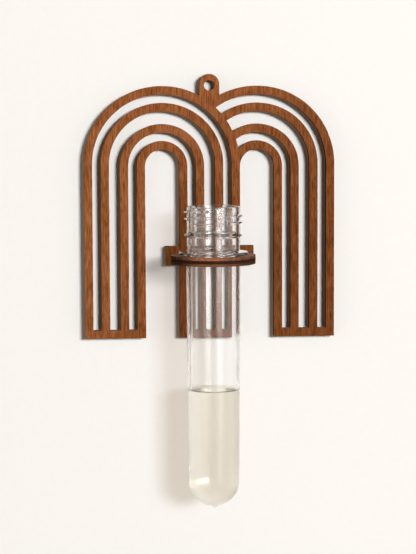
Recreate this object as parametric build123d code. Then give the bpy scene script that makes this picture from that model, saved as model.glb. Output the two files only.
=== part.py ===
from build123d import *
from math import acos, degrees, sqrt
import os

# Wall-hung propagation vase: an arched plywood panel, a plywood ring let into it and a clear screw-neck tube.
# Millimetres. +Z is up, +X is right, the front faces -Y, and the panel's back lies on the wall at y = 0.
# The origin is the centre of the hanging hole, at the wall.

# Panel
sheet = 4.0                 # thickness of the plywood, panel and ring alike
bar = 4.0                   # width of each wooden bar
pair_slot = 4.1             # slot between the two bars of a pair
middle_slot = 5.2           # wider slot between the outer and the inner pair
leg_pitch = 45.8            # centre to centre of neighbouring legs
arch_height = 121.5         # from the feet to the top of an arch
inner_drop = 0.9            # the inner pair's arcs are struck this much lower
foot_rail = 3.9             # rail left under the slots at each foot

# Hanging tab
tab_width = 9.6
tab_rise = 5.7              # top of the tab above the arches
tab_root = 0.6              # how far the tab runs in below the crossing of the arches
hole_radius = 2.5
hole_rise = 0.2             # hole centre above the top of the arches

# Cross tab and ring
cross_width = 42.4
cross_height = 9.2
cross_rise = 39.9           # centre of the cross tab and of the ring above the feet
ring_radius = 20.0
ring_hole_radius = 13.3
ring_reach = 20.0           # from the panel's face to the tube's axis
neck_width = 24.0           # straight back of the ring, which seats on the panel's face
tenon_width = 16.0
tenon_play = 0.05           # gap on each side of the tenon in its mortise
tenon_recess = 0.2          # the tenon's end stops short of the wall

# Tube, with heights measured from the underside of its flange
tube_length_above = 23.1    # flange to mouth
tube_length_below = 121.4   # flange to the tip of the gate mark
neck_radius = 12.55
bore_radius = 10.95
lip_bevel = 0.5
bead_radius = 14.0
bead_rise = 9.35            # height of the bead's edge
bead_slope = 1.8            # height of the long slope above that edge
bead_undercut = 0.9         # height of the steep face under it
bead_land = 0.4             # narrow band at the bead's edge
flange_radius = 16.5
flange_edge = 1.6
flange_crown = 2.1          # thickness where the flange meets the neck
flange_bevel = 0.4
shoulder_radius = 12.97     # body just under the flange
dome_radius = 12.1          # body at the start of the round bottom
gate_radius = 1.6
gate_length = 0.9
cavity_end_radius = 10.55   # below the flange the bore narrows to this at the round bottom
floor_thickness = 2.4

# Places worked out from the sizes above
leg_width = 4 * bar + 2 * pair_slot + middle_slot
arch_radius = (leg_pitch + leg_width) / 2
arch_x = leg_pitch / 2
arch_top_z = -hole_rise
foot_z = arch_top_z - arch_height
spring_z = arch_top_z - arch_radius
cross_z = foot_z + cross_rise
tube_y = -(sheet + ring_reach)
flange_z = cross_z + sheet / 2


def arch_outline(centre_x, radius, spring, foot):
    # doorway outline: a disc at the springing line standing on a straight shaft
    shaft = Pos(centre_x, (spring + foot) / 2) * Rectangle(2 * radius, spring - foot)
    return shaft + Pos(centre_x, spring) * Circle(radius)


def fretted_arch(centre_x):
    # nested outlines alternate between wood and slot from the outside in
    steps = (bar, pair_slot, bar, middle_slot, bar, pair_slot, bar)
    radius = arch_radius
    arch = arch_outline(centre_x, radius, spring_z, foot_z)
    for index, step in enumerate(steps):
        radius -= step
        inner_pair = index > 2
        spring = spring_z - inner_drop if inner_pair else spring_z
        cuts_slot = index % 2 == 0
        opening = index == len(steps) - 1
        if opening:
            arch -= arch_outline(centre_x, radius, spring, foot_z)
        elif cuts_slot:
            arch -= arch_outline(centre_x, radius, spring, foot_z + foot_rail)
        else:
            arch += arch_outline(centre_x, radius, spring, foot_z)
    return arch


def hanging_tab():
    # round-ended tab that fills the notch where the two arches cross
    crossing_z = spring_z + sqrt(arch_radius**2 - arch_x**2)
    root_z = crossing_z - tab_root
    round_z = arch_top_z + tab_rise - tab_width / 2
    shank = Pos(0, (root_z + round_z) / 2) * Rectangle(tab_width, round_z - root_z)
    return shank + Pos(0, round_z) * Circle(tab_width / 2)


def back_plate():
    # the left arch is whole, and the right arch stops against its outer edge
    left_outline = arch_outline(-arch_x, arch_radius, spring_z, foot_z)
    outline = fretted_arch(-arch_x) + (fretted_arch(arch_x) - left_outline)
    outline += Pos(0, cross_z) * Rectangle(cross_width, cross_height)
    outline += hanging_tab()
    outline -= Circle(hole_radius)
    mortise = Rectangle(tenon_width + 2 * tenon_play, sheet + 2 * tenon_play)
    outline -= Pos(0, cross_z) * mortise
    return extrude(Plane.XZ * outline, amount=sheet)


def tube_ring():
    # flat ring with a straight neck that seats on the panel and a tenon through it
    tenon_length = sheet - tenon_recess
    outline = Pos(0, tube_y) * Circle(ring_radius)
    outline += Pos(0, tube_y + ring_reach / 2) * Rectangle(neck_width, ring_reach)
    outline += Pos(0, -sheet + tenon_length / 2) * Rectangle(tenon_width, tenon_length)
    outline -= Pos(0, tube_y) * Circle(ring_hole_radius)
    return extrude(Plane.XY.offset(cross_z - sheet / 2) * outline, amount=sheet)


def test_tube():
    # half section as radius and height, turned about the tube's axis
    tip = -tube_length_below
    dome_centre = tip + gate_length + dome_radius
    gate_meets_dome = dome_centre - sqrt(dome_radius**2 - gate_radius**2)
    gate_angle = degrees(acos(gate_radius / dome_radius))
    floor = tip + gate_length + floor_thickness
    cavity_centre = floor + cavity_end_radius
    gate = Polyline((0, tip), (gate_radius, tip), (gate_radius, gate_meets_dome))
    dome = CenterArc((0, dome_centre), dome_radius, -gate_angle, gate_angle)
    walls = Polyline(
        (dome_radius, dome_centre),
        (shoulder_radius, 0),
        (flange_radius, 0),
        (flange_radius, flange_edge),
        (neck_radius, flange_crown),
        (neck_radius, bead_rise - bead_undercut),
        (bead_radius, bead_rise - bead_land / 2),
        (bead_radius, bead_rise + bead_land / 2),
        (neck_radius, bead_rise + bead_slope),
        (neck_radius, tube_length_above),
        (bore_radius, tube_length_above),
        (bore_radius, 0),
        (cavity_end_radius, cavity_centre),
    )
    cavity_floor = CenterArc((0, cavity_centre), cavity_end_radius, -90, 90)
    axis_line = Line((0, floor), (0, tip))
    outline = gate.edges() + dome.edges() + walls.edges()
    section = make_face(outline + cavity_floor.edges() + axis_line.edges())
    section = chamfer(section.vertices().group_by(Axis.Y)[-1], lip_bevel)
    section = chamfer(section.vertices().group_by(Axis.X)[-1], flange_bevel)
    tube = revolve(Plane.XZ * section, Axis.Z)
    return Pos(0, tube_y, flange_z) * tube


os.makedirs("parts", exist_ok=True)
for make_piece in (back_plate, tube_ring, test_tube):
    export_step(make_piece(), f"parts/{make_piece.__name__}.step")
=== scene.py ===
import math

import bpy
import numpy as np
from mathutils import Matrix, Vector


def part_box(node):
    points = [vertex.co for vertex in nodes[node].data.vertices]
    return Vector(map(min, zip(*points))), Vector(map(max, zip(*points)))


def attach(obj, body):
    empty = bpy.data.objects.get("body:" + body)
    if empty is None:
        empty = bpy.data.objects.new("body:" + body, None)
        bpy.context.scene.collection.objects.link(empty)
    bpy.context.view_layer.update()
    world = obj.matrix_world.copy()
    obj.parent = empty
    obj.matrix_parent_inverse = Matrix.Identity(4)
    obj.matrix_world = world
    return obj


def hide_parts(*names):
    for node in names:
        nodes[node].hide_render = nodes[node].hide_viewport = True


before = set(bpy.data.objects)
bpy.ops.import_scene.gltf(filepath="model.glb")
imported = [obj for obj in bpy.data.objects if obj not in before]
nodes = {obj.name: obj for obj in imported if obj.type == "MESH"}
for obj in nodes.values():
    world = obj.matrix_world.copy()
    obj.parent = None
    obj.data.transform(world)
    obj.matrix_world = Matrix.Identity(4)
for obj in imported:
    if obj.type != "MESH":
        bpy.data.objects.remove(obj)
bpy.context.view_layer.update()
mm = 0.001
print("frame loaded:", ", ".join(sorted(nodes)))


# Shader wiring

class Wire:
    # a socket in a node tree; arithmetic on wires adds Math nodes
    def __init__(self, tree, socket=None):
        self.tree = tree
        self.socket = socket

    def node(self, kind, settings=None, sockets=None, out=0):
        made = self.tree.nodes.new(kind)
        for key, value in (settings or {}).items():
            if key == "stops":
                self.setStops(made.color_ramp, value)
            else:
                setattr(made, key, value)
        for key, value in (sockets or {}).items():
            if isinstance(value, Wire):
                self.tree.links.new(value.socket, made.inputs[key])
            else:
                made.inputs[key].default_value = value
        return Wire(self.tree, made.outputs[out] if made.outputs else None)

    def setStops(self, ramp, stops):
        while len(ramp.elements) < len(stops):
            ramp.elements.new(1.0)
        for element, (place, stopColour) in zip(ramp.elements, stops):
            element.position = place
            element.color = stopColour

    def math(self, operation, first, second=0.0):
        return self.node("ShaderNodeMath", {"operation": operation}, {0: first, 1: second})

    def __add__(self, other):
        return self.math("ADD", self, other)

    def __radd__(self, other):
        return self.math("ADD", other, self)

    def __sub__(self, other):
        return self.math("SUBTRACT", self, other)

    def __rsub__(self, other):
        return self.math("SUBTRACT", other, self)

    def __mul__(self, other):
        return self.math("MULTIPLY", self, other)

    def __rmul__(self, other):
        return self.math("MULTIPLY", other, self)

    def __abs__(self):
        return self.math("ABSOLUTE", self)

    def step(self, low, high):
        # smooth rise from 0 at low to 1 at high
        return self.node(
            "ShaderNodeMapRange",
            {"interpolation_type": "SMOOTHSTEP"},
            {"Value": self, "From Min": low, "From Max": high},
        )

    def split(self):
        # the three numbers of a vector
        apart = self.node("ShaderNodeSeparateXYZ", None, {0: self}).socket.node
        return [Wire(self.tree, socket) for socket in apart.outputs]

    def noise(self, waves, detail=2.0, roughness=0.5):
        # self is a place in metres, waves are counted per metre along x, y and z
        scaled = self.node("ShaderNodeVectorMath", {"operation": "MULTIPLY"}, {0: self, 1: waves})
        sockets = {"Vector": scaled, "Scale": 1.0, "Detail": detail, "Roughness": roughness}
        return self.node("ShaderNodeTexNoise", None, sockets)

    def mix(self, kind, share, first, second):
        settings = {"data_type": "RGBA", "blend_type": kind}
        return self.node("ShaderNodeMix", settings, {0: share, 6: first, 7: second}, out=2)

    def blend(self, first, second):
        # self is the share of the second colour
        return self.mix("MIX", self, first, second)

    def deepen(self, shade, share=1.0):
        # self is a colour, a share of which is multiplied by the shade
        return self.mix("MULTIPLY", share, self, shade)


def newMaterial(name):
    material = bpy.data.materials.new(name)
    material.use_nodes = True
    material.node_tree.nodes.clear()
    return material, Wire(material.node_tree)


def textureCoords(root, kind="Object"):
    return root.node("ShaderNodeTexCoord", None, None, kind)


def colour(red, green, blue):
    return (red, green, blue, 1.0)


def addObject(name, data):
    made = bpy.data.objects.new(name, data)
    bpy.context.scene.collection.objects.link(made)
    return made


# Stained plywood

plywood = {
    "stain": [                                  # tone of the grain, and the colour at that tone
        (0.34, colour(0.166, 0.046, 0.0110)),
        (0.50, colour(0.292, 0.098, 0.0305)),
        (0.67, colour(0.425, 0.165, 0.0680)),
    ],
    "figureWaves": (700.0, 26.0),               # waves per metre across and along the grain
    "streakWaves": (1700.0, 150.0),
    "poreWaves": (1900.0, 240.0),
    "mottleWaves": (150.0, 150.0),
    "figureShare": 0.16,
    "streakShare": 0.66,
    "mottleShare": 0.22,
    "toneShift": -0.02,
    "pore": colour(0.075, 0.022, 0.008),
    "poreRange": (0.60, 0.70),
    "poreShare": 0.55,
    "sheet": 4.0 * mm,
    "outerPly": 1.2 * mm,
    "plyBlur": 0.3 * mm,                        # how softly the outer plies turn into the core
    "halfBlur": 0.1 * mm,                       # the same between the two outer plies' colours
    # the upper ply is lighter than the lower: its own tone, and on the ring a painted highlight along the
    # top of the cut
    "upperPlyAndHighlight": colour(0.500, 0.210, 0.105),
    "lowerPly": colour(0.250, 0.108, 0.054),
    "corePly": colour(0.052, 0.019, 0.010),
    "scorchAndShade": colour(0.020, 0.008, 0.004),
    "fibre": colour(0.50, 0.44, 0.40),          # dark fibre ends along a cut
    "fibreWaves": (1300.0, 1300.0, 1300.0),
    "fibreRange": (0.40, 0.68),
    "faceRange": (0.4, 0.6),                    # how square to the sheet it is, from cut edge to face
    "reliefStrength": 0.25,
    "reliefDepth": 0.15 * mm,
    "roughness": 0.90,
    "streakSheen": 0.2,
    "poreDullness": 0.1,
    "specular": 0.04,
}


def grain(name, along):
    # waves on x, y and z for a grain that runs along one of them
    acrossWaves, alongWaves = plywood[name]
    return tuple(alongWaves if axis == along else acrossWaves for axis in "xyz")


def veneer(root, place, along):
    # colour of a face, with its streaks and pores
    figure = place.noise(grain("figureWaves", along), detail=3.0, roughness=0.55)
    streaks = place.noise(grain("streakWaves", along), detail=2.0, roughness=0.6)
    flecks = place.noise(grain("poreWaves", along), detail=1.0, roughness=0.5)
    mottle = place.noise(grain("mottleWaves", along), detail=2.0, roughness=0.5)
    pattern = figure * plywood["figureShare"] + streaks * plywood["streakShare"]
    tone = pattern + mottle * plywood["mottleShare"] + plywood["toneShift"]
    stained = root.node("ShaderNodeValToRGB", {"stops": plywood["stain"]}, {0: tone})
    pores = flecks.step(*plywood["poreRange"]) * plywood["poreShare"]
    return pores.blend(stained, plywood["pore"]), streaks, pores


def plyEdge(coords, depth, burn):
    # depth is the distance from the sheet's middle plane; burn is the share of the cut in scorch colour,
    # on the ring partly painted shade
    border = plywood["sheet"] / 2 - plywood["outerPly"]
    core = 1.0 - abs(depth).step(border - plywood["plyBlur"], border + plywood["plyBlur"])
    upper = depth.step(-plywood["halfBlur"], plywood["halfBlur"])
    plies = core.blend(upper.blend(plywood["lowerPly"], plywood["upperPlyAndHighlight"]), plywood["corePly"])
    fibres = coords.noise(plywood["fibreWaves"], detail=3.0, roughness=0.65)
    plies = plies.deepen(plywood["fibre"], fibres.step(*plywood["fibreRange"]))
    return burn.blend(plies, plywood["scorchAndShade"])


def finishWood(root, face, edge, facing, streaks, pores):
    # facing is the part of the normal that is square to the sheet
    onFace = abs(facing).step(*plywood["faceRange"])
    relief = root.node(
        "ShaderNodeBump",
        None,
        {
            "Strength": plywood["reliefStrength"],
            "Distance": plywood["reliefDepth"],
            "Height": streaks - pores,
        },
    )
    dullness = plywood["roughness"] - streaks * plywood["streakSheen"] + pores * plywood["poreDullness"]
    shader = root.node(
        "ShaderNodeBsdfPrincipled",
        None,
        {
            "Base Color": onFace.blend(edge, face),
            "Roughness": dullness,
            "Specular IOR Level": plywood["specular"],
            "Normal": relief,
        },
    )
    root.node("ShaderNodeOutputMaterial", None, {"Surface": shader})


panel = {
    "sway": 3.0 * mm,                           # the grain wanders sideways
    "swayWaves": (30.0, 30.0, 9.0),
    "shade": colour(0.64, 0.585, 0.475),        # darker towards the lower right, and painted shade on the middle leg
    "shadeRight": 0.85,
    "shadeDown": 0.5,
    "shadeRange": (-15.0 * mm, 85.0 * mm),
    "middleLeg": -6.0 * mm,                     # painted shade on the middle leg and the cross tab's left end
    "middleReach": (13.0 * mm, 26.0 * mm),
    "middleDrop": (30.0 * mm, 62.0 * mm),
    "leastBurn": 0.8,
    "burnWaves": (700.0, 120.0, 700.0),
    "burnRange": (0.25, 0.75),
}


def panelPlywood():
    material, root = newMaterial("stainedPlywoodPanel")
    coords = textureCoords(root)
    x, y, z = coords.split()
    facing = textureCoords(root, "Normal").split()[1]
    sway = coords.noise(panel["swayWaves"]) - 0.5
    place = root.node("ShaderNodeCombineXYZ", None, {0: x + sway * panel["sway"], 1: y, 2: z})
    face, streaks, pores = veneer(root, place, "z")
    # painted shade on the middle leg and the cross tab's left end; the face is also darker towards the
    # lower right
    beside = abs(x - panel["middleLeg"]).step(*panel["middleReach"])
    middle = (1.0 - beside) * (0.0 - z).step(*panel["middleDrop"])
    lowerRight = (x * panel["shadeRight"] - z * panel["shadeDown"]).step(*panel["shadeRange"])
    face = face.deepen(panel["shade"], root.math("MAXIMUM", lowerRight, middle))
    patches = coords.noise(panel["burnWaves"], detail=3.0, roughness=0.6).step(*panel["burnRange"])
    burn = patches * (1.0 - panel["leastBurn"]) + panel["leastBurn"]
    edge = plyEdge(coords, y + plywood["sheet"] / 2, burn)
    finishWood(root, face, edge, facing, streaks, pores)
    return material


ring = {
    "radius": 20.0 * mm,
    "shade": colour(0.55, 0.58, 0.62),          # the ring's faces are darker and greyer all over
    "patchBurn": 0.3,
    "burnWaves": (420.0, 420.0, 120.0),
    "burnRange": (0.3, 0.75),
    "sideBurnAndShade": 0.7,                            # the cut is darker at both ends: partly burnt, partly painted shade
    "rightBurnAndShade": (-3.0 * mm, 18.0 * mm),        # and it starts nearer to the middle on the right
    "leftBurnAndShade": (8.0 * mm, 18.0 * mm),
}


def ringPlywood(middleHeight):
    material, root = newMaterial("stainedPlywoodRing")
    coords = textureCoords(root)
    x, z = coords.split()[::2]
    facing = textureCoords(root, "Normal").split()[2]
    face, streaks, pores = veneer(root, coords, "x")
    # painted shade mixed with burn: both ends of the ring's cut are darkened, so its middle stays lighter
    sides = x.step(*ring["rightBurnAndShade"]) + (0.0 - x).step(*ring["leftBurnAndShade"])
    patches = coords.noise(ring["burnWaves"], detail=3.0, roughness=0.6).step(*ring["burnRange"])
    burn = patches * ring["patchBurn"] + sides * ring["sideBurnAndShade"]
    edge = plyEdge(coords, z - middleHeight, burn)
    finishWood(root, face.deepen(ring["shade"]), edge, facing, streaks, pores)
    return material


def dress(node, material):
    node.data.materials.clear()
    node.data.materials.append(material)


ringLow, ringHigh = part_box("tube_ring")
dress(nodes["back_plate"], panelPlywood())
dress(nodes["tube_ring"], ringPlywood((ringLow.z + ringHigh.z) / 2))
print("plywood stained")


# Turned surfaces

def cutCorners(corners, steps=6, leastRun=1e-6):
    # corners are rows of radius, height and cut; each corner is cut back by its cut
    # along both runs and bridged by the quadratic curve that the corner pulls
    rows = np.array(corners, float)
    spots, cuts = rows[:, :2], rows[:, 2:3]
    runs = np.diff(spots, axis=0)
    units = runs / np.linalg.norm(runs, axis=1, keepdims=True)
    pulls = spots[1:-1]
    before = pulls - units[:-1] * cuts[1:-1]
    after = pulls + units[1:] * cuts[1:-1]
    t = np.linspace(0, 1, steps)[None, :, None]
    bridges = (1 - t) ** 2 * before[:, None] + 2 * t * (1 - t) * pulls[:, None] + t**2 * after[:, None]
    path = np.vstack([spots[:1], bridges.reshape(-1, 2), spots[-1:]])
    apart = np.linalg.norm(np.diff(path, axis=0), axis=1) > leastRun
    return path[np.concatenate([[True], apart])]


def braceRuns(path, margin, longRun):
    # a long run gets a row close to each of its ends, so that smooth shading stays flat between them
    runs = np.diff(path, axis=0)
    lengths = np.linalg.norm(runs, axis=1)
    chosen = np.flatnonzero(lengths > longRun)
    inset = runs[chosen] / lengths[chosen, None] * margin
    rows = np.concatenate([path[chosen] + inset, path[chosen + 1] - inset])
    return np.insert(path, np.tile(chosen + 1, 2), rows, axis=0)


def quarterRound(radius, centreHeight, rows):
    # quarter circle from its widest place down to the axis
    sink = np.linspace(0, np.pi / 2, rows)
    arc = np.stack([radius * np.cos(sink), centreHeight - radius * np.sin(sink)], axis=1)
    arc[-1, 0] = 0
    return arc


def turnedMesh(name, path, sides, swell, centre):
    # point(row, angle) = centre + (radius + swell) * (cos angle, sin angle) + height,
    # with the first and last rows closed to a pole each
    angle = np.linspace(0, 2 * np.pi, sides, endpoint=False)[None, :]
    radius = path[:, :1] + swell(path[:, 1:], angle)
    height = np.broadcast_to(path[:, 1:], radius.shape)
    grid = np.stack([radius * np.cos(angle), radius * np.sin(angle), height], axis=2) * mm + centre
    body = grid[1:-1]
    points = np.vstack([grid[0, :1], body.reshape(-1, 3), grid[-1, :1]])
    ids = 1 + np.arange(body.shape[0] * sides).reshape(-1, sides)
    ahead = np.roll(ids, -1, axis=1)
    quads = np.stack([ids[:-1], ahead[:-1], ahead[1:], ids[1:]], axis=2).reshape(-1, 4)
    first = np.stack([np.zeros(sides, int), ahead[0], ids[0]], axis=1)
    last = np.stack([np.full(sides, len(points) - 1), ids[-1], ahead[-1]], axis=1)
    mesh = bpy.data.meshes.new(name)
    mesh.from_pydata(points.tolist(), [], quads.tolist() + first.tolist() + last.tolist())
    mesh.polygons.foreach_set("use_smooth", np.ones(len(mesh.polygons), bool))
    return addObject(name, mesh)


def noSwell(height, angle):
    # plain turned surface: nothing is added to the radius
    return np.zeros((height.shape[0], angle.shape[1]))


def passLamps(root, shader, tint):
    # lamps shine through a clear piece, tinted, so that it leaves no dark shadow
    letThrough = root.node("ShaderNodeBsdfTransparent", None, {0: tint})
    fromLamp = root.node("ShaderNodeLightPath", None, None, "Is Shadow Ray")
    mixed = root.node("ShaderNodeMixShader", None, {0: fromLamp, 1: shader, 2: letThrough})
    root.node("ShaderNodeOutputMaterial", None, {"Surface": mixed})


# Clear tube, in millimetres, with heights from the flange's underside

tube = {
    "sides": 240,
    "above": 23.1,                      # up to the mouth
    "below": 121.4,                     # down to the tip of the gate mark
    "neckRadius": 12.55,
    "neckCut": 0.7,                     # a cut is how far a corner is rounded off
    "boreRadius": 10.95,
    "boreCut": 2.5,
    "lipCut": 0.6,
    "lipBand": 1.0,                     # plain neck above the thread
    "beadRadius": 14.0,
    "beadRise": 9.35,
    "beadSlope": 1.35,
    "beadUndercut": 0.9,
    "beadCuts": (0.3, 0.4, 0.25),       # under the bead, at its edge and above it
    "flangeRadius": 16.5,
    "flangeEdge": 1.6,
    "flangeCrown": 2.1,
    "flangeCuts": (0.7, 0.8),           # lower and upper edge
    "shoulderRadius": 12.97,
    "shoulderCut": 0.35,
    "domeRadius": 12.1,
    "domeRows": 30,
    "gateRadius": 1.6,
    "gateFlare": 0.05,
    "gateLength": 0.9,
    "gateCuts": (0.45, 0.25),           # at its end and at its root
    "cavityEndRadius": 10.55,
    "cavityRows": 26,
    "floorThickness": 2.4,
    "braceMargin": 0.15,
    "longRun": 1.0,
    "threadPitch": 3.12,
    "threadDatum": (180.0, 17.27),      # angle and height of one place on the crest
    "threadSpan": (-150.0, 620.0),      # where the thread starts and ends along its helix
    "threadRunOut": 28.0,
    "threadHeight": 1.2,
    "threadCrest": 0.36,                # half widths of the ridge at its crest and its root
    "threadRoot": 0.74,
    "threadRows": 150,
    "threadFoot": 0.3,                  # the first of these rows, above the bead's slope
    "threadDip": 0.5,                   # the ridge may start this far down that slope
    "vents": (21.0, 111.0, 201.0, 291.0),
    "ventHalf": 7.0,
    "ventBlur": 2.0,
    "clear": colour(1.0, 1.0, 0.995),
    "hazy": colour(0.985, 0.985, 0.98),
    "hazeWaves": (90.0, 90.0, 40.0),
    "hazeRange": (0.2, 0.8),
    "scuffs": 0.03,
    "scuffWaves": (600.0, 600.0, 90.0),
    "scuffRange": (0.5, 0.8),
    "index": 1.5,
    "bareMirror": colour(0.0, 0.0, 0.0),        # the coat mirrors instead, softly and without grain
    "coatRoughness": 0.16,
    "shadowTint": colour(0.935, 0.928, 0.918),
}

tubeTip = -tube["below"]
domeCentre = tubeTip + tube["gateLength"] + tube["domeRadius"]
cavityCentre = tubeTip + tube["gateLength"] + tube["floorThickness"] + tube["cavityEndRadius"]
beadTop = tube["beadRise"] + tube["beadSlope"]
threadTop = tube["above"] - tube["lipBand"]


def smooth(value, low, high):
    # smooth rise from 0 at low to 1 at high
    share = np.clip((value - low) / (high - low), 0, 1)
    return share * share * (3 - 2 * share)


def halfTurn(angle):
    # the same angle, brought between -180 and 180 degrees
    return (angle + 180) % 360 - 180


def threadSwell(height, angle):
    # a ridge that climbs one pitch a turn: its height falls off with the upright distance
    # to the helix, runs out at both ends and is broken by the vents
    turn = np.degrees(angle)
    datumAngle, datumHeight = tube["threadDatum"]
    helix = datumAngle + (height - datumHeight) / tube["threadPitch"] * 360
    offset = halfTurn(helix - turn)
    distance = np.abs(offset) / 360 * tube["threadPitch"]
    ridge = 1 - smooth(distance, tube["threadCrest"], tube["threadRoot"])
    along = helix - offset
    start, end = tube["threadSpan"]
    runOut = tube["threadRunOut"]
    kept = smooth(along, start, start + runOut) * (1 - smooth(along, end - runOut, end))
    gaps = np.stack([np.abs(halfTurn(turn - vent)) for vent in tube["vents"]]).min(axis=0)
    kept = kept * smooth(gaps, tube["ventHalf"] - tube["ventBlur"], tube["ventHalf"] + tube["ventBlur"])
    inZone = (height > beadTop - tube["threadDip"]) & (height < threadTop)
    return tube["threadHeight"] * ridge * kept * inZone


def tubeDome():
    # round bottom: the arc from the gate mark out to the wall
    bend = np.linspace(-math.acos(tube["gateRadius"] / tube["domeRadius"]), 0, tube["domeRows"])[1:]
    return np.stack([np.cos(bend), np.sin(bend)], axis=1) * tube["domeRadius"] + (0, domeCentre)


def tubeNeck():
    # plain neck in close rows, on which the thread rises
    heights = np.linspace(beadTop + tube["threadFoot"], threadTop, tube["threadRows"])
    return np.stack([np.full(heights.shape, tube["neckRadius"]), heights], axis=1)


def uncut(spots):
    # rows of radius and height as corners that stay sharp
    return [(radius, height, 0.0) for radius, height in spots]


def tubePath():
    # half section from the outer tip up to the lip and back down to the inner floor
    gateTop = domeCentre - math.sqrt(tube["domeRadius"] ** 2 - tube["gateRadius"] ** 2)
    gateEndCut, gateRootCut = tube["gateCuts"]
    flangeLowCut, flangeHighCut = tube["flangeCuts"]
    beadUnderCut, beadEdgeCut, beadOverCut = tube["beadCuts"]
    outer = [
        (0, tubeTip, 0),
        (tube["gateRadius"], tubeTip, gateEndCut),
        (tube["gateRadius"] + tube["gateFlare"], gateTop, gateRootCut),
        *uncut(tubeDome()),
        (tube["shoulderRadius"], 0.0, tube["shoulderCut"]),
        (tube["flangeRadius"], 0.0, flangeLowCut),
        (tube["flangeRadius"], tube["flangeEdge"], flangeHighCut),
        (tube["neckRadius"], tube["flangeCrown"], tube["neckCut"]),
        (tube["neckRadius"], tube["beadRise"] - tube["beadUndercut"], beadUnderCut),
        (tube["beadRadius"], tube["beadRise"], beadEdgeCut),
        (tube["neckRadius"], beadTop, beadOverCut),
        *uncut(tubeNeck()),
    ]
    inner = [
        (tube["neckRadius"], tube["above"], tube["lipCut"]),
        (tube["boreRadius"], tube["above"], tube["lipCut"]),
        (tube["boreRadius"], 0.0, tube["boreCut"]),
        *uncut(quarterRound(tube["cavityEndRadius"], cavityCentre, tube["cavityRows"])),
    ]
    return braceRuns(cutCorners(outer + inner), tube["braceMargin"], tube["longRun"])


def clearPlastic():
    material, root = newMaterial("clearMouldedPlastic")
    coords = textureCoords(root)
    haze = coords.noise(tube["hazeWaves"], detail=3.0, roughness=0.6).step(*tube["hazeRange"])
    scuffs = coords.noise(tube["scuffWaves"], detail=2.0, roughness=0.5).step(*tube["scuffRange"])
    shader = root.node(
        "ShaderNodeBsdfPrincipled",
        None,
        {
            "Base Color": haze.blend(tube["clear"], tube["hazy"]),
            "Roughness": scuffs * tube["scuffs"],
            "IOR": tube["index"],
            "Transmission Weight": 1.0,
            "Specular Tint": tube["bareMirror"],
            "Coat Weight": 1.0,
            "Coat Roughness": tube["coatRoughness"],
        },
    )
    passLamps(root, shader, tube["shadowTint"])
    return material


# the flange rests on the ring's top, in the middle of its hole
ringCentre = np.array([0.0, ringLow.y + ring["radius"], ringHigh.z])
testTube = turnedMesh("clearTube", tubePath(), tube["sides"], threadSwell, ringCentre)
testTube.data.materials.append(clearPlastic())
testTube.visible_diffuse = False        # lamps already reach the wall through it
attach(testTube, "tube")
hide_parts("test_tube")
print("tube turned:", len(testTube.data.polygons), "faces")


# Water in the tube, in millimetres

water = {
    "sides": 160,
    "level": -64.6,                     # surface, below the flange's underside
    "overlap": 0.04,                    # reaches this far into the plastic, so no air film shows
    "meniscusRise": 0.9,
    "meniscusReach": 0.5,
    "meniscusRows": 30,                 # they crowd towards the wall, over this share of the radius
    "meniscusShare": 0.45,
    "middleRows": 6,                    # even rows from this share to the middle
    "middleStart": 0.5,
    "braceMargin": 0.05,
    "longRun": 5.0,
    "clear": colour(0.93, 0.90, 0.82),
    "cloudy": colour(0.89, 0.855, 0.77),
    "cloudWaves": (60.0, 60.0, 25.0),
    "cloudRange": (0.25, 0.75),
    "index": 1.333,
    "shadowTint": colour(0.91, 0.89, 0.86),
}


def waterPath():
    # the cavity's wall, a little larger, up to the surface, which curls up at the wall:
    # the curl falls off as e to the power of minus the distance over its reach
    endRadius = tube["cavityEndRadius"]
    hollow = quarterRound(endRadius + water["overlap"], cavityCentre, tube["cavityRows"])[::-1]
    edge = water["level"] + water["meniscusRise"]
    slope = (tube["boreRadius"] - endRadius) / -cavityCentre
    wallRadius = endRadius + (edge - cavityCentre) * slope + water["overlap"]
    nearWall = np.linspace(0, 1, water["meniscusRows"]) ** 2 * water["meniscusShare"]
    middle = np.linspace(water["middleStart"], 1, water["middleRows"])
    inward = np.concatenate([nearWall, middle]) * wallRadius
    lift = water["meniscusRise"] * np.exp(-inward / water["meniscusReach"])
    surface = np.stack([wallRadius - inward, water["level"] + lift], axis=1)
    return braceRuns(np.vstack([hollow, surface]), water["braceMargin"], water["longRun"])


def stillWater():
    material, root = newMaterial("stillWater")
    cloud = textureCoords(root).noise(water["cloudWaves"], detail=2.0, roughness=0.5)
    shader = root.node(
        "ShaderNodeBsdfPrincipled",
        None,
        {
            "Base Color": cloud.step(*water["cloudRange"]).blend(water["clear"], water["cloudy"]),
            "Roughness": 0.0,
            "IOR": water["index"],
            "Transmission Weight": 1.0,
        },
    )
    passLamps(root, shader, water["shadowTint"])
    return material


tubeWater = turnedMesh("tubeWater", waterPath(), water["sides"], noSwell, ringCentre)
tubeWater.data.materials.append(stillWater())
tubeWater.visible_diffuse = False
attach(tubeWater, "tube")
print("water filled to", water["level"], "mm below the flange")


# Pale wall behind the panel

wall = {
    "half": 4.0,
    "gap": 0.4 * mm,
    "paint": colour(0.960, 0.965, 0.963),
    "paintDeep": colour(0.945, 0.95, 0.948),
    "rollerWaves": (300.0, 300.0, 300.0),
    "rollerRange": (0.3, 0.7),
}


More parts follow.
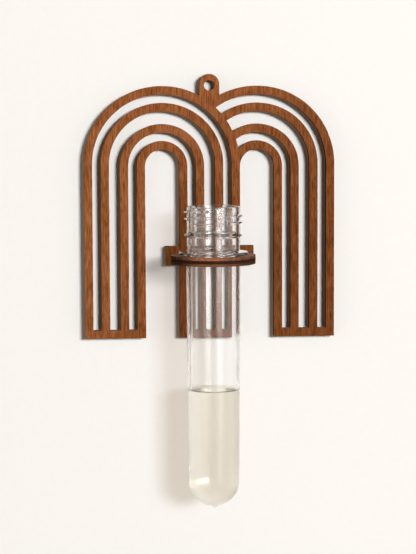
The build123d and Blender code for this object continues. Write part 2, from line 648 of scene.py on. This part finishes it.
def paintedWall():
    # painted front; from behind it is clear, so that the back of the panel can be seen
    material, root = newMaterial("paintedWall")
    roller = textureCoords(root).noise(wall["rollerWaves"], detail=3.0, roughness=0.6)
    paint = roller.step(*wall["rollerRange"]).blend(wall["paint"], wall["paintDeep"])
    front = root.node("ShaderNodeBsdfDiffuse", None, {0: paint})
    clear = root.node("ShaderNodeBsdfTransparent", None, {0: colour(1.0, 1.0, 1.0)})
    behind = root.node("ShaderNodeNewGeometry", None, None, "Backfacing")
    mixed = root.node("ShaderNodeMixShader", None, {0: behind, 1: front, 2: clear})
    root.node("ShaderNodeOutputMaterial", None, {"Surface": mixed})
    return material


def wallMesh():
    # an upright square round the origin, a little behind the panel
    quarters = ((-1, -1), (1, -1), (1, 1), (-1, 1))
    corners = [(x * wall["half"], wall["gap"], z * wall["half"]) for x, z in quarters]
    mesh = bpy.data.meshes.new("wall")
    mesh.from_pydata(corners, [], [(0, 1, 2, 3)])
    return mesh


wallPiece = addObject("wall", wallMesh())
wallPiece.data.materials.append(paintedWall())
wallPiece.visible_shadow = False        # lets light reach the panel's back
wallPiece.visible_diffuse = False
print("wall painted")


# Light and camera

windowPane = {"towards": (0.485, -1.0, 0.23), "width": 1.45, "height": 0.90}

light = {
    "aim": (0.0, 0.0, -0.09),
    "distance": 5.0,
    "tint": (1.0, 0.985, 0.965),
    "ambient": 0.085,                   # from the room in front
    "ambientTint": colour(1.0, 0.70, 0.46),
    "flank": 0.85,                      # from the pale room to the left and right
    "flankTint": colour(1.0, 0.94, 0.87),
    "flankRange": (0.5, 0.9),
    "white": colour(1.0, 0.99, 0.975),
    "room": 0.20,                       # what the dim room in front adds to reflections
    "roomRange": (-0.9, 0.0),
    "window": {**windowPane, "power": 120.0},
    "softWindow": {**windowPane, "power": 109.0},
    "pane": {**windowPane, "power": 70.0},
    "sill": {"towards": (0.37, -1.0, 0.025), "width": 1.45, "height": 1.05, "power": 50.0},
    "curtain": {"towards": (0.50, -1.0, 0.24), "width": 3.5, "height": 1.70, "power": 110.0},
    "haze": {"towards": (0.50, -1.0, 0.24), "width": 3.7, "height": 3.40, "power": 100.0},
    "rear": {"towards": (0.20, 1.0, 0.30), "width": 2.0, "height": 2.0, "power": 110.0},
}


def setWorld():
    # white to the camera and through clear pieces;
    # mirrored rays see the pale wall and a dim room in front
    world = bpy.data.worlds.new("paleRoom")
    world.use_nodes = True
    world.node_tree.nodes.clear()
    root = Wire(world.node_tree)
    path = root.node("ShaderNodeLightPath").socket.node
    camera, through, glossy, mirrors = (
        Wire(world.node_tree, path.outputs[key])
        for key in ("Is Camera Ray", "Is Transmission Ray", "Is Glossy Ray", "Glossy Depth")
    )
    dx, dy = textureCoords(root, "Generated").split()[:2]
    mirrored = root.math("MINIMUM", mirrors, 1.0)
    plain = root.math("MAXIMUM", camera, through * (1.0 - mirrored))
    room = dy.step(*light["roomRange"]) * (1.0 - light["room"]) + light["room"]
    sight = plain * (1.0 - room) + room
    seen = root.node("ShaderNodeBackground", None, {0: light["white"], 1: sight})
    flank = abs(dx).step(*light["flankRange"])
    tint = flank.blend(light["ambientTint"], light["flankTint"])
    strength = flank * (light["flank"] - light["ambient"]) + light["ambient"]
    ambient = root.node("ShaderNodeBackground", None, {0: tint, 1: strength})
    direct = root.math("MAXIMUM", plain, glossy)
    glow = root.node("ShaderNodeMixShader", None, {0: direct, 1: ambient, 2: seen})
    root.node("ShaderNodeOutputWorld", None, {0: glow})
    bpy.context.scene.world = world


def placement(place, right, up, back):
    # right, up and back become the x, y and z axes
    turn = Matrix(np.stack([right, up, back], axis=1).tolist())
    return Matrix.Translation(place) @ turn.to_4x4()


def hangLamp(name, lights=True, mirrored=True):
    # an area lamp that faces the aim; lights is whether it shines on the pieces,
    # and mirrored whether it is seen in and through them
    lamp = light[name]
    data = bpy.data.lights.new(name + "Lamp", "AREA")
    data.shape = "RECTANGLE"
    data.size = lamp["width"]
    data.size_y = lamp["height"]
    data.energy = lamp["power"]
    data.color = light["tint"]
    towards = np.array(lamp["towards"]) / np.linalg.norm(lamp["towards"])
    right = np.cross((0.0, 0.0, 1.0), towards)
    right = right / np.linalg.norm(right)
    place = np.array(light["aim"]) + towards * light["distance"]
    hung = addObject(name + "Lamp", data)
    hung.matrix_world = placement(place, right, np.cross(towards, right), towards)
    hung.visible_camera = False
    hung.visible_diffuse = lights
    hung.visible_glossy = mirrored
    hung.visible_transmission = mirrored
    return hung


def passRing(lamp):
    # this lamp's light, about half of the window's, goes past the ring, whose shadow then stays faint
    passed = bpy.data.collections.new("passed")
    passed.objects.link(nodes["tube_ring"])
    passed.collection_objects[0].light_linking.link_state = "EXCLUDE"
    lamp.light_linking.blocker_collection = passed


view = {
    "place": (-75.74 * mm, -943.41 * mm, -0.34 * mm),
    "yaw": 4.55,
    "pitch": -5.572,
    "roll": -0.235,
    "lens": 127.16,
    "sensor": 36.0,
    "near": 0.01,
    "far": 50.0,
}


def setCamera():
    # yaw turns it to the right, pitch up, and roll tips its right side up
    yaw, pitch, roll = (math.radians(view[key]) for key in ("yaw", "pitch", "roll"))
    level = np.array([math.cos(yaw), -math.sin(yaw), 0.0])
    heading = np.array([math.sin(yaw), math.cos(yaw), 0.0])
    ahead = heading * math.cos(pitch) + np.array([0.0, 0.0, math.sin(pitch)])
    upright = np.cross(level, ahead)
    right = level * math.cos(roll) + upright * math.sin(roll)
    up = upright * math.cos(roll) - level * math.sin(roll)
    data = bpy.data.cameras.new("photoCamera")
    data.lens = view["lens"]
    data.sensor_width = view["sensor"]
    data.clip_start = view["near"]
    data.clip_end = view["far"]
    camera = addObject("photoCamera", data)
    camera.matrix_world = placement(view["place"], right, up, -ahead)
    bpy.context.scene.camera = camera


setWorld()
hangLamp("window", mirrored=False)
passRing(hangLamp("softWindow", mirrored=False))
for lampName in ("pane", "sill", "curtain", "haze"):        # parts of the window that only show as a sheen
    hangLamp(lampName, lights=False)
hangLamp("rear")        # lights the panel's back for views from behind
setCamera()
bpy.context.scene.view_settings.view_transform = "Standard"
bpy.context.scene.cycles.max_bounces = 24           # light takes many turns inside the clear neck
bpy.context.scene.cycles.glossy_bounces = 16
bpy.context.scene.cycles.transmission_bounces = 24
print("lit and framed")
